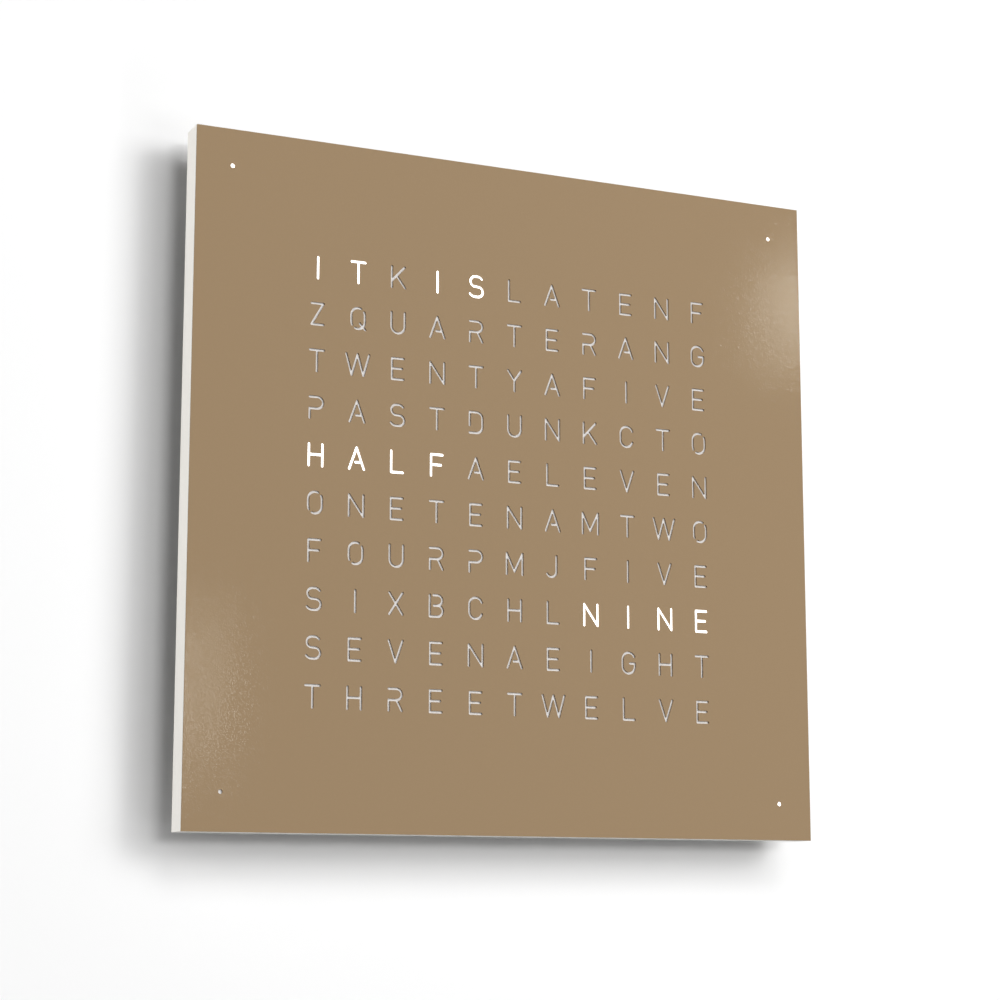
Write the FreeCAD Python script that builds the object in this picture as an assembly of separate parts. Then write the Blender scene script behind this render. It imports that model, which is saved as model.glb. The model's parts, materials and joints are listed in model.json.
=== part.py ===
import FreeCAD
import Part

import math
import os

Vector = FreeCAD.Vector

# Word clock for a wall. Sizes are in millimetres. X runs to the right of someone who faces the
# clock, Z runs up and Y runs into the wall. The wall is the plane Y = 0, and the origin is the
# middle of the wall bracket's four screw holes.

# Case
side = 450.0  # height and width
rear_edge = 0.4  # broken edge round the back
stand_off = 20.0  # wall to the back of the case
bracket_inset = 115.0  # wall screws below the top of the case
land_w = 12.0  # front face of the frame, which the cover lies on
ledge_w = 5.0  # step between the diffuser and the LED board
rear_wall_t = 5.0  # frame beside the back panel
edge_gap = 0.3  # round each sheet that lies in the frame

# Layers, from the front
cover_t = 1.0
diffuser_t = 2.0
chamber_depth = 12.0
led_board_t = 2.0
panel_t = 3.0

# Letter chambers
columns = 11
rows = 10
cell_w = 28.2
cell_h = 31.0
cell_wall = 1.6  # between two chambers, at the diffuser
chamber_draft = 0.6  # a chamber narrows this much on each side towards its LED
grid_rim = 2.4  # outer wall of the grid
led_w = 5.0
led_h = 1.6

# Minute dots
dot_r = 1.5
dot_inset = 24.6  # from the sides of the case
dot_cell_w = 12.0
dot_cell_wall = 1.5

# What holds the cover
magnet_w = 7.0
magnet_length = 30.0
magnet_t = 3.0
magnet_pitch = 140.0
magnet_fit = 0.1
cover_peg_w = 4.0
cover_peg_h = 10.0
cover_peg_length = 5.0
cover_peg_rise = 70.0  # above the middle of the case
cover_peg_fit = 0.25

# Screws of the back
screw_r = 1.5
screw_head_r = 2.8
screw_head_t = 1.8
screw_fit = 0.1
shank_flats = 8  # a hidden shank and its holes are prisms, which keeps the model light
panel_screw_drop = 40.0  # from the top and bottom of the case
panel_screw_length = 9.0

# Folded sheets that hang the clock
sheet_t = 2.0
sheet_bend_r = 1.5
bracket_w = 180.0
bracket_flange_h = 54.0
wall_hole_r = 2.6
wall_hole_span_x = 140.0
wall_hole_span_z = 30.0
hook_reach = 12.0  # wall to the front of the bracket's lip
hook_h = 18.0
rail_w = 160.0
rail_flange_h = 40.0
rail_lip_h = 14.0
rail_gap = 2.0  # between the two lips
rail_hole_span_x = 120.0
rail_hole_rise = 18.0  # screws above the rail's shelf

# Feet at the bottom of the back
foot_x = 150.0
foot_inset = 35.0  # above the bottom of the case
foot_root_r = 10.0
foot_tip_r = 7.0
pad_t = 3.0

# Service box on the back
box_w = 150.0
box_h = 110.0
box_depth = 15.0
box_inset = 130.0  # middle of the box above the bottom of the case
box_corner_r = 7.0
box_wall = 2.0
box_floor = 3.0
boss_w = 9.0
vent_count = 9
vent_pitch = 10.0
vent_w = 4.0
vent_h = 6.0

# Controller board in the service box
control_w = 118.0
control_h = 86.0
control_t = 1.6
control_rise = 5.0  # from the floor of the box
post_w = 5.0
post_inset = 6.0
catch_w = 6.0
catch_t = 1.4
catch_reach = 0.8  # how far a catch laps over the board
catch_slope = 1.0
catch_gap = 0.1
catch_rise = 25.0  # from the middle of the board
link_x = 20.0
link_z = 30.0
link_w = 26.0
link_h = 5.0
slot_gap = 1.0
crystal_edge_r = 1.4

# Chips on the controller board: width, height and thickness, then their places from its middle
processor_size = (10.0, 10.0, 1.5)
processor_places = ((0.0, 6.0),)
regulator_size = (9.0, 6.5, 2.3)
regulator_places = ((42.0, -14.0),)
driver_size = (7.8, 6.4, 1.2)
driver_places = ((-36.0, 28.0), (-22.0, 28.0), (-8.0, 28.0), (6.0, 28.0))
crystal_size = (7.0, 3.2, 2.4)
crystal_places = ((0.0, -6.0),)
capacitor_size = (7.3, 4.3, 2.9)
capacitor_places = ((26.0, 4.0), (26.0, -4.0))

# Coin cell, its holder and the sliding hatch
cell_x = -30.0
cell_z = -30.0  # from the middle of the box
coin_r = 10.0
coin_t = 3.2
holder_base = 1.0
holder_wall = 1.4
holder_fit = 0.2
finger_w = 12.0  # notch in the holder's wall
cell_opening = 22.0
hatch_w = 30.0
hatch_h = 40.0
hatch_t = 1.8
hatch_fit = 0.15
tongue_w = 1.2
tongue_t = 0.8
ridge_count = 4
ridge_pitch = 2.5
ridge_w = 16.0
ridge_h = 0.4

# Power inlet
jack_x = 42.0
jack_w = 9.0
jack_h = 9.5
jack_length = 13.0
jack_bore_r = 2.9
jack_bore_depth = 10.0
jack_pin_r = 1.05
jack_pin_setback = 1.0

# Buttons on the right-hand side
button_count = 3  # mode, hours and minutes
button_pitch = 16.0
button_inset = 105.0  # middle button above the bottom of the case
button_r = 3.5
button_fit = 0.2
button_proud = 0.6
button_edge = 0.4
button_travel = 1.0
button_rest_gap = 0.2
button_flange_t = 1.2
button_flange_w = 1.0
nub_w = 2.6
nub_length = 2.0
switch_w = 6.0
switch_h = 3.2
switch_gap = 0.4  # left between the flange and the switch when pressed
well_fit = 0.3
well_floor = 1.4
carrier_margin = 9.0
carrier_gap = 0.5  # between the carrier and the diffuser
small_board_t = 1.6

# Light sensor at the top
sensor_x = 120.0
pipe_r = 2.0
pipe_fit = 0.1
pipe_reach = 1.0  # past the frame's inner wall
sensor_w = 3.0
sensor_h = 1.2
sensor_gap = 0.3
sensor_board_w = 12.0
sensor_board_gap = 2.0  # between the board's edge and the diffuser

# Planes across the depth, from the wall to the room
case_back = -stand_off
panel_front = case_back - panel_t
board_front = panel_front - led_board_t
grid_front = board_front - chamber_depth
cover_back = grid_front - diffuser_t
cover_front = cover_back - cover_t
chamber_y = (grid_front + board_front) / 2

half = side / 2
middle_z = bracket_inset - half
bottom_z = middle_z - half
recess_w = side - 2 * land_w
inner_half = half - land_w - ledge_w
land_middle = half - land_w / 2
rear_w = side - 2 * rear_wall_t
panel_screw_line = (half - land_w + half - rear_wall_t) / 2
dot_offset = half - dot_inset
foot_z = bottom_z + foot_inset

shelf_z = bracket_flange_h / 2
hook_top = shelf_z + hook_h
box_z = bottom_z + box_inset
box_bottom = box_z - box_h / 2
box_back = case_back + box_depth
box_inside = box_back - box_floor
control_back = box_inside - control_rise
control_front = control_back - control_t
hatch_z = box_bottom + hatch_h / 2
jack_y = (case_back + box_inside) / 2  # midway between the panel and the floor of the box

# Stack behind a button, from the frame's inner wall to the small board
button_z = bottom_z + button_inset
flange_w = 2 * (button_r + button_flange_w)
flange_outer = inner_half - button_rest_gap
flange_inner = flange_outer - button_flange_t
switch_top = flange_inner - button_travel - switch_gap
button_board_x = switch_top - switch_h
carrier_front = grid_front + carrier_gap
sensor_top = middle_z + inner_half - pipe_reach - sensor_gap


def box(x0, x1, y0, y1, z0, z1):
    return Part.makeBox(x1 - x0, y1 - y0, z1 - z0, Vector(x0, y0, z0))


def block(width, height, y0, y1, x, z):
    # Block centred on (x, z), between two planes parallel to the wall
    return box(x - width / 2, x + width / 2, y0, y1, z - height / 2, z + height / 2)


def rod(radius, start, end):
    return Part.makeCylinder(radius, (end - start).Length, start, end - start)


def peg(radius, x, z, y0, y1):
    # Round bar square to the wall
    return rod(radius, Vector(x, y0, z), Vector(x, y1, z))


def prism(radius, x, z, y0, y1):
    # Many-sided bar square to the wall
    corners = []
    for i in range(shank_flats + 1):
        angle = 2 * math.pi * i / shank_flats
        corners.append(Vector(x + radius * math.cos(angle), y0, z + radius * math.sin(angle)))
    return Part.Face(Part.makePolygon(corners)).extrude(Vector(0, y1 - y0, 0))


def rounded_face(corners, radii):
    # Flat face through the corners, each rounded by its own radius
    edges = []
    first = None
    last = None
    for i, corner in enumerate(corners):
        back = (corners[i - 1] - corner).normalize()
        ahead = (corners[(i + 1) % len(corners)] - corner).normalize()
        start = corner
        end = corner
        arc = None
        if radii[i] > 0:
            half_angle = back.getAngle(ahead) / 2
            reach = radii[i] / math.tan(half_angle)
            inward = (back + ahead).normalize()
            start = corner + back * reach
            end = corner + ahead * reach
            middle = corner + inward * (radii[i] / math.sin(half_angle) - radii[i])
            arc = Part.Arc(start, middle, end).toShape()
        if last is not None:
            edges.append(Part.LineSegment(last, start).toShape())
        if arc is not None:
            edges.append(arc)
        if first is None:
            first = start
        last = end
    edges.append(Part.LineSegment(last, first).toShape())
    return Part.Face(Part.Wire(edges))


def rounded_block(width, height, y0, y1, radius, z):
    # Block parallel to the wall with four rounded corners
    corners = []
    for across, up in ((-1, -1), (1, -1), (1, 1), (-1, 1)):
        corners.append(Vector(across * width / 2, y0, z + up * height / 2))
    return rounded_face(corners, [radius] * 4).extrude(Vector(0, y1 - y0, 0))


def square(width, y0, y1):
    return block(width, width, y0, y1, 0, middle_z)


def bent_sheet(path, width):
    # Sheet metal folded along a path of (Y, Z) points on the middle of the sheet
    points = [Vector(0, y, z) for y, z in path]
    steps = [(b - a).normalize() for a, b in zip(points, points[1:])]
    normals = [Vector(0, -step.z, step.y) for step in steps]
    sides = {1: [], -1: []}
    for i, point in enumerate(points):
        before = normals[max(i - 1, 0)]
        after = normals[min(i, len(steps) - 1)]
        mitre = (before + after).normalize()
        offset = mitre * (sheet_t / 2 / mitre.dot(after))
        turn = before.cross(after).x
        for hand in (1, -1):
            if turn == 0:
                radius = 0.0
            elif turn * hand > 0:
                radius = sheet_bend_r
            else:
                radius = sheet_bend_r + sheet_t
            sides[hand].append((point + offset * hand, radius))
    outline = sides[1] + sides[-1][::-1]
    face = rounded_face([corner for corner, _ in outline], [radius for _, radius in outline])
    face.translate(Vector(-width / 2, 0, 0))
    return face.extrude(Vector(width, 0, 0))


def four(x, z, centre_z):
    # Four places at the corners of a rectangle
    return [(i * x, centre_z + k * z) for i in (-1, 1) for k in (-1, 1)]


def pair(x, z):
    # A place on the left and one on the right
    return [(-x, z), (x, z)]


def screw(x, z, seat_y, length):
    # Pan-head screw that points into the room from its seat
    head = peg(screw_head_r, x, z, seat_y, seat_y + screw_head_t)
    return head.fuse(prism(screw_r, x, z, seat_y - length, seat_y)).removeSplitter()


def letter_places():
    # Middles of the letter cells
    places = []
    for row in range(rows):
        for column in range(columns):
            x = (column - (columns - 1) / 2) * cell_w
            z = middle_z + ((rows - 1) / 2 - row) * cell_h
            places.append((x, z))
    return places


def dot_places():
    return four(dot_offset, dot_offset, middle_z)


def land_bars(gap):
    # Three bars along each side of the frame's front face, with a gap round each
    wide = magnet_length + 2 * gap
    narrow = magnet_w + 2 * gap
    bars = []
    for step in (-1, 0, 1):
        along = step * magnet_pitch
        for hand in (-1, 1):
            across = hand * land_middle
            bars.append(block(wide, narrow, cover_back, cover_back + magnet_t, along, middle_z + across))
            bars.append(block(narrow, wide, cover_back, cover_back + magnet_t, across, middle_z + along))
    return bars


def cover_peg_blocks(gap):
    width = cover_peg_w + 2 * gap
    height = cover_peg_h + 2 * gap
    tip = cover_back + cover_peg_length + gap
    places = pair(land_middle, middle_z + cover_peg_rise)
    return [block(width, height, cover_back, tip, x, z) for x, z in places]


def panel_screw_places():
    return four(panel_screw_line, half - panel_screw_drop, middle_z)


def hanger_screw_places():
    return pair(rail_hole_span_x / 2, hook_top + sheet_t + rail_hole_rise)


def box_screw_places():
    return pair(box_w / 2 - box_wall - boss_w / 2, box_z)


def button_places():
    # Heights of the buttons, from the top one down
    return [button_z + ((button_count - 1) / 2 - i) * button_pitch for i in range(button_count)]


def make_front_cover():
    cover = square(side, cover_front, cover_back)
    return cover.cut([peg(dot_r, x, z, cover_front, cover_back) for x, z in dot_places()])


def make_cover_pegs():
    return Part.makeCompound(cover_peg_blocks(0))


def make_case_frame():
    # Mitred frame with a step for the diffuser, one for the LED board and one for the back panel
    frame = square(side, cover_back, case_back)
    rear = [edge for edge in frame.Edges if edge.BoundBox.YMin > case_back - edge_gap]
    frame = frame.makeChamfer(rear_edge, rear)
    cuts = [
        square(recess_w, cover_back, grid_front),
        square(2 * inner_half, grid_front, board_front),
        square(recess_w, board_front, panel_front),
        square(rear_w, panel_front, case_back),
    ]
    cuts += land_bars(magnet_fit)
    cuts += cover_peg_blocks(cover_peg_fit)
    pilot = panel_screw_length - panel_t + screw_fit
    for x, z in panel_screw_places():
        cuts.append(prism(screw_r + screw_fit / 2, x, z, panel_front - pilot, panel_front))
    for z in button_places():
        start = Vector(inner_half, chamber_y, z)
        cuts.append(rod(button_r + button_fit, start, Vector(half, chamber_y, z)))
    pipe_start = Vector(sensor_x, chamber_y, middle_z + inner_half)
    cuts.append(rod(pipe_r + pipe_fit, pipe_start, pipe_start + Vector(0, 0, half - inner_half)))
    return frame.cut(cuts)


def make_cover_magnets():
    return Part.makeCompound(land_bars(0))


def make_diffuser_panel():
    return square(recess_w - 2 * edge_gap, cover_back, grid_front)


def make_light_grid():
    # One moulded crate: each chamber narrows from the diffuser to its LED
    width = columns * cell_w + 2 * (grid_rim - cell_wall / 2)
    height = rows * cell_h + 2 * (grid_rim - cell_wall / 2)
    crate = block(width, height, grid_front, board_front, 0, middle_z)
    wide_x = (cell_w - cell_wall) / 2
    wide_z = (cell_h - cell_wall) / 2
    led_x = wide_x - chamber_draft
    led_z = wide_z - chamber_draft
    chamber = Part.makeWedge(-wide_x, grid_front, -wide_z, -led_z, -led_x,
                             wide_x, board_front, wide_z, led_z, led_x)
    return crate.cut([chamber.translated(Vector(x, 0, z)) for x, z in letter_places()])


def make_dot_reflectors():
    tubes = []
    for x, z in dot_places():
        tube = block(dot_cell_w, dot_cell_w, grid_front, board_front, x, z)
        inner = dot_cell_w - 2 * dot_cell_wall
        tubes.append(tube.cut(block(inner, inner, grid_front, board_front, x, z)))
    return Part.makeCompound(tubes)


def make_leds(places):
    return Part.makeCompound(
        [block(led_w, led_w, board_front - led_h, board_front, x, z) for x, z in places])


def make_led_board():
    return square(recess_w - 2 * edge_gap, board_front, panel_front)


def make_back_panel():
    panel = square(rear_w - 2 * edge_gap, panel_front, case_back)
    holes = panel_screw_places() + hanger_screw_places() + box_screw_places()
    cuts = [prism(screw_r + screw_fit, x, z, panel_front, case_back) for x, z in holes]
    slot_w = link_w + 2 * slot_gap
    slot_h = link_h + 2 * slot_gap
    cuts.append(block(slot_w, slot_h, panel_front, case_back, link_x, box_z + link_z))
    return panel.cut(cuts)


def make_panel_screws():
    return Part.makeCompound(
        [screw(x, z, case_back, panel_screw_length) for x, z in panel_screw_places()])


def make_wall_bracket():
    # Flange on the wall, shelf towards the room, lip upwards
    wall_y = -sheet_t / 2
    lip_y = -hook_reach + sheet_t / 2
    path = [(wall_y, -bracket_flange_h / 2), (wall_y, shelf_z - sheet_t / 2),
            (lip_y, shelf_z - sheet_t / 2), (lip_y, hook_top)]
    sheet = bent_sheet(path, bracket_w)
    holes = four(wall_hole_span_x / 2, wall_hole_span_z / 2, 0)
    return sheet.cut([peg(wall_hole_r, x, z, -sheet_t, 0) for x, z in holes])


def make_hanger_rail():
    # Flange on the back panel, shelf over the bracket's lip, lip down behind it
    shelf = hook_top + sheet_t / 2
    flange_y = case_back + sheet_t / 2
    lip_y = -hook_reach + sheet_t + rail_gap + sheet_t / 2
    path = [(flange_y, hook_top + sheet_t + rail_flange_h), (flange_y, shelf),
            (lip_y, shelf), (lip_y, hook_top - rail_lip_h)]
    sheet = bent_sheet(path, rail_w)
    places = hanger_screw_places()
    return sheet.cut([peg(screw_r + screw_fit, x, z, case_back, case_back + sheet_t) for x, z in places])


def make_hanger_screws():
    length = sheet_t + panel_t - screw_fit
    return Part.makeCompound(
        [screw(x, z, case_back + sheet_t, length) for x, z in hanger_screw_places()])


def make_spacer_feet():
    feet = []
    for x, z in pair(foot_x, foot_z):
        root = Vector(x, case_back, z)
        feet.append(Part.makeCone(foot_root_r, foot_tip_r, stand_off - pad_t, root, Vector(0, 1, 0)))
    return Part.makeCompound(feet)


def make_foot_pads():
    return Part.makeCompound(
        [peg(foot_tip_r, x, z, -pad_t, 0) for x, z in pair(foot_x, foot_z)])


def make_service_box():
    shell = rounded_block(box_w, box_h, case_back, box_back, box_corner_r, box_z)
    inner_w = box_w - 2 * box_wall
    inner_h = box_h - 2 * box_wall
    inner_r = box_corner_r - box_wall
    hollow = rounded_block(inner_w, inner_h, case_back, box_inside, inner_r, box_z)
    shell = shell.cut(hollow)
    solids = [block(boss_w, boss_w, case_back, box_inside, x, z) for x, z in box_screw_places()]
    posts = four(control_w / 2 - post_inset, control_h / 2 - post_inset, box_z)
    solids += [block(post_w, post_w, control_back, box_inside, x, z) for x, z in posts]
    solids += board_catches()
    shell = shell.fuse(solids)
    cuts = [peg(screw_r + screw_fit, x, z, case_back, box_back) for x, z in box_screw_places()]
    cuts += hatch_pocket()
    opening_w = jack_w + 2 * edge_gap
    opening_h = jack_h + 2 * edge_gap
    cuts.append(box(jack_x - opening_w / 2, jack_x + opening_w / 2,
                    jack_y - opening_h / 2, jack_y + opening_h / 2,
                    box_bottom, box_bottom + box_wall))
    top = box_z + box_h / 2
    for i in range(vent_count):
        x = (i - (vent_count - 1) / 2) * vent_pitch
        cuts.append(box(x - vent_w / 2, x + vent_w / 2, jack_y - vent_h / 2, jack_y + vent_h / 2,
                        top - box_wall, top))
    return shell.cut(cuts).removeSplitter()


def board_catches():
    # Sprung catches of the box, which lap over the front of the controller board
    lap = control_front - catch_gap
    catches = []
    for hand in (-1, 1):
        near = hand * (control_w / 2 + catch_gap)
        far = near + hand * catch_t
        nose = near - hand * catch_reach
        for rise in (-catch_rise, catch_rise):
            low = box_z + rise - catch_w / 2
            outline = [(near, box_inside), (far, box_inside), (far, lap - catch_slope),
                       (near, lap - catch_slope), (nose, lap), (near, lap)]
            corners = [Vector(x, y, low) for x, y in outline]
            face = Part.Face(Part.makePolygon(corners + corners[:1]))
            catches.append(face.extrude(Vector(0, 0, catch_w)))
    return catches


def hatch_pocket():
    # Recess for the hatch with a groove along each side, and the opening over the cell
    bottom = box_back - hatch_t - hatch_fit
    recess = block(hatch_w, hatch_h, bottom, box_back, cell_x, hatch_z)
    groove_w = hatch_w + 2 * (tongue_w + hatch_fit)
    groove = block(groove_w, hatch_h, bottom, bottom + tongue_t + 2 * hatch_fit, cell_x, hatch_z)
    opening = block(cell_opening, cell_opening, box_inside, box_back, cell_x, box_z + cell_z)
    return [recess, groove, opening]


def make_battery_hatch():
    inner = box_back - hatch_t
    height = hatch_h - hatch_fit
    z = hatch_z - hatch_fit / 2
    lid = block(hatch_w - 2 * hatch_fit, height, inner, box_back, cell_x, z)
    lid = lid.fuse(block(hatch_w + 2 * tongue_w, height, inner, inner + tongue_t, cell_x, z))
    grooves = []
    for i in range(1, ridge_count + 1):
        groove_z = box_bottom + ridge_pitch * i
        grooves.append(block(ridge_w, ridge_pitch / 2, box_back - ridge_h, box_back, cell_x, groove_z))
    return lid.cut(grooves).removeSplitter()


def make_box_screws():
    length = box_depth + panel_t - screw_fit
    return Part.makeCompound([screw(x, z, box_back, length) for x, z in box_screw_places()])


def make_controller_board():
    board = block(control_w, control_h, control_front, control_back, 0, box_z)
    notch_top = box_bottom + jack_length + edge_gap
    notch = box(jack_x - jack_w / 2 - edge_gap, jack_x + jack_w / 2 + edge_gap,
                control_front, control_back, box_bottom, notch_top)
    return board.cut(notch)


def on_board(size, places):
    width, height, thickness = size
    return [block(width, height, control_back, control_back + thickness, x, box_z + z) for x, z in places]


def make_controller_chips():
    chips = on_board(processor_size, processor_places)
    chips += on_board(regulator_size, regulator_places)
    chips += on_board(driver_size, driver_places)
    return Part.makeCompound(chips)


def make_quartz_crystal():
    crystal = on_board(crystal_size, crystal_places)[0]
    ends = [edge for edge in crystal.Edges if edge.BoundBox.YLength > crystal_edge_r]
    return crystal.makeFillet(crystal_edge_r, ends)


def make_supply_capacitors():
    return Part.makeCompound(on_board(capacitor_size, capacitor_places))


def make_link_connector():
    return block(link_w, link_h, panel_front, control_front, link_x, box_z + link_z)


def make_coin_cell_holder():
    z = box_z + cell_z
    width = 2 * (coin_r + holder_fit + holder_wall)
    floor = control_back + holder_base
    top = floor + coin_t - holder_fit
    holder = block(width, width, control_back, top, cell_x, z)
    recess = peg(coin_r + holder_fit, cell_x, z, floor, top)
    notch = block(finger_w, coin_r + holder_fit + holder_wall, floor, top, cell_x, z + width / 4)
    return holder.cut([recess, notch])


def make_coin_cell():
    start = control_back + holder_base
    return peg(coin_r, cell_x, box_z + cell_z, start, start + coin_t)


def make_dc_jack():
    body = box(jack_x - jack_w / 2, jack_x + jack_w / 2, jack_y - jack_h / 2, jack_y + jack_h / 2,
               box_bottom, box_bottom + jack_length)
    mouth = Vector(jack_x, jack_y, box_bottom)
    return body.cut(rod(jack_bore_r, mouth, mouth + Vector(0, 0, jack_bore_depth)))


def make_dc_jack_pin():
    start = Vector(jack_x, jack_y, box_bottom + jack_pin_setback)
    return rod(jack_pin_r, start, start + Vector(0, 0, jack_bore_depth - jack_pin_setback))


def bar_along_x(x0, x1, width, z):
    # Square bar through the middle of the chambers' depth
    return box(x0, x1, chamber_y - width / 2, chamber_y + width / 2, z - width / 2, z + width / 2)


def make_button(z):
    outer = half + button_proud
    cap = rod(button_r, Vector(flange_outer, chamber_y, z), Vector(outer, chamber_y, z))
    rim = [edge for edge in cap.Edges if edge.BoundBox.XMin > outer - button_proud / 2]
    cap = cap.makeChamfer(button_edge, rim[:1])
    flange = bar_along_x(flange_inner, flange_outer, flange_w, z)
    nub = bar_along_x(flange_inner - nub_length, flange_inner, nub_w, z)
    return cap.fuse([flange, nub]).removeSplitter()


def carrier_bar(x0, x1):
    low = min(button_places()) - carrier_margin
    high = max(button_places()) + carrier_margin
    return box(x0, x1, carrier_front, board_front, low, high)


def make_button_carrier():
    # Block with a square window behind each button, for the button's flange and its switch
    window_w = flange_w + 2 * button_fit
    windows = [bar_along_x(button_board_x, inner_half, window_w, z) for z in button_places()]
    return carrier_bar(button_board_x, inner_half).cut(windows)


def make_button_board():
    return carrier_bar(button_board_x - small_board_t, button_board_x)


def make_button_switches():
    switches = []
    for z in button_places():
        body = bar_along_x(button_board_x, switch_top, switch_w, z)
        well = bar_along_x(button_board_x + well_floor, switch_top, nub_w + 2 * well_fit, z)
        switches.append(body.cut(well))
    return Part.makeCompound(switches)


def make_light_pipe():
    foot = Vector(sensor_x, chamber_y, middle_z + inner_half - pipe_reach)
    return rod(pipe_r, foot, Vector(sensor_x, chamber_y, middle_z + half))


def make_light_sensor():
    return box(sensor_x - sensor_w / 2, sensor_x + sensor_w / 2, chamber_y - sensor_w / 2,
               chamber_y + sensor_w / 2, sensor_top - sensor_h, sensor_top)


def make_sensor_board():
    top = sensor_top - sensor_h
    return box(sensor_x - sensor_board_w / 2, sensor_x + sensor_board_w / 2,
               grid_front + sensor_board_gap, board_front, top - small_board_t, top)


def main():
    os.makedirs("parts", exist_ok=True)
    mode_z, hour_z, minute_z = button_places()
    nodes = {
        "wall_bracket": make_wall_bracket(),
        "front_cover": make_front_cover(),
        "cover_pegs": make_cover_pegs(),
        "case_frame": make_case_frame(),
        "cover_magnets": make_cover_magnets(),
        "diffuser_panel": make_diffuser_panel(),
        "light_grid": make_light_grid(),
        "dot_reflectors": make_dot_reflectors(),
        "letter_leds": make_leds(letter_places()),
        "dot_leds": make_leds(dot_places()),
        "led_board": make_led_board(),
        "back_panel": make_back_panel(),
        "back_panel_screws": make_panel_screws(),
        "hanger_rail": make_hanger_rail(),
        "hanger_screws": make_hanger_screws(),
        "spacer_feet": make_spacer_feet(),
        "foot_pads": make_foot_pads(),
        "service_box": make_service_box(),
        "service_box_screws": make_box_screws(),
        "battery_hatch": make_battery_hatch(),
        "controller_board": make_controller_board(),
        "controller_chips": make_controller_chips(),
        "quartz_crystal": make_quartz_crystal(),
        "supply_capacitors": make_supply_capacitors(),
        "link_connector": make_link_connector(),
        "coin_cell_holder": make_coin_cell_holder(),
        "coin_cell": make_coin_cell(),
        "dc_jack": make_dc_jack(),
        "dc_jack_pin": make_dc_jack_pin(),
        "mode_button": make_button(mode_z),
        "hour_button": make_button(hour_z),
        "minute_button": make_button(minute_z),
        "button_carrier": make_button_carrier(),
        "button_board": make_button_board(),
        "button_switches": make_button_switches(),
        "light_pipe": make_light_pipe(),
        "light_sensor": make_light_sensor(),
        "sensor_board": make_sensor_board(),
    }
    for name, shape in nodes.items():
        shape.exportStep("parts/" + name + ".step")
        print(name, "solids", len(shape.Solids), "valid", shape.isValid())


main()
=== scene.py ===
import json
import math

import bmesh
import bpy
from mathutils import Matrix, Vector


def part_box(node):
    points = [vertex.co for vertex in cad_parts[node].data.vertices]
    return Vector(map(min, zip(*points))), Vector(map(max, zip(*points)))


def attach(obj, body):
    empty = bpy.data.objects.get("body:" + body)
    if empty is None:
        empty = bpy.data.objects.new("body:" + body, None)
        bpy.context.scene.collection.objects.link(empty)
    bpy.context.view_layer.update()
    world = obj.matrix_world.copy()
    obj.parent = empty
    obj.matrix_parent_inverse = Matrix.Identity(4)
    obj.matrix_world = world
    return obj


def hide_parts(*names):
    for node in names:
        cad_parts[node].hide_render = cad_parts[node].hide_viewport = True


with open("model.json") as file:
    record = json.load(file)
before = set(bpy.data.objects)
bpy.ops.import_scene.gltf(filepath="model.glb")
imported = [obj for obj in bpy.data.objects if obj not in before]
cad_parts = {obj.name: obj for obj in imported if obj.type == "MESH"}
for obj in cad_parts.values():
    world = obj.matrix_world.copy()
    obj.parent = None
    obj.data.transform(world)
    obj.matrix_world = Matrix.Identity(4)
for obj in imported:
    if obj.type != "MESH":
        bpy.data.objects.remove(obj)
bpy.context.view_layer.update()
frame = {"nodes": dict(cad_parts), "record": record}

scene = bpy.context.scene
mm = 0.001
coverLow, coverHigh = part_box("front_cover")
coverMiddle = (coverLow + coverHigh) / 2
coverFront = Vector((coverMiddle.x, coverLow.y, coverMiddle.z))


# Camera

camera = {
    "place": Vector((-0.65892, -1.43809, -0.38405)),
    "aim": Vector((-0.01081, -0.04, -0.11438)),
    "lens": 85.0,
    "sensor": 36.0,
}


def setCamera():
    data = bpy.data.cameras.new("camera")
    data.lens = camera["lens"]
    data.sensor_width = camera["sensor"]
    holder = bpy.data.objects.new("camera", data)
    scene.collection.objects.link(holder)
    holder.location = camera["place"]
    holder.rotation_euler = (camera["aim"] - camera["place"]).to_track_quat("-Z", "Y").to_euler()
    scene.camera = holder


setCamera()
scene.view_settings.view_transform = "Standard"
print("camera set")


# Nodes and groups

def addNode(tree, kind, values=None, **settings):
    # A value that is a socket is linked, any other is typed in
    node = tree.nodes.new(kind)
    for key, value in settings.items():
        setattr(node, key, value)
    for key, value in (values or {}).items():
        if isinstance(value, bpy.types.NodeSocket):
            tree.links.new(value, node.inputs[key])
        else:
            node.inputs[key].default_value = value
    return node


def addMath(tree, operation, first, second):
    return addNode(tree, "ShaderNodeMath", {0: first, 1: second}, operation=operation).outputs[0]


def addRange(tree, value, source, target=(0.0, 1.0)):
    # Brings a value from one range to another
    return addNode(tree, "ShaderNodeMapRange", {
        "Value": value, "From Min": source[0], "From Max": source[1],
        "To Min": target[0], "To Max": target[1]}).outputs[0]


def mixColours(tree, factor, first, second):
    mix = addNode(tree, "ShaderNodeMix", {"Factor": factor, 6: first, 7: second}, data_type="RGBA")
    return mix.outputs[2]


def objectPlace(tree):
    return addNode(tree, "ShaderNodeTexCoord").outputs["Object"]


def newGroup(name, inputs, outputs):
    group = bpy.data.node_groups.new(name, "ShaderNodeTree")
    for label, kind, value in inputs:
        socket = group.interface.new_socket(label, in_out="INPUT", socket_type=kind)
        socket.default_value = value
    for label in outputs:
        group.interface.new_socket(label, in_out="OUTPUT", socket_type="NodeSocketFloat")
    return group, group.nodes.new("NodeGroupInput").outputs, group.nodes.new("NodeGroupOutput").inputs


# Fixed values of the shared groups
noise = {
    "fineRoughness": 0.55,
    "coarseScale": 0.37,
    "coarseDetail": 1.0,
    "maskEnds": (0.38, 0.62),
    "patchDetail": 3.0,
    "patchEnds": (0.3, 0.7),
    "trackWidth": 0.08,
}


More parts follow.
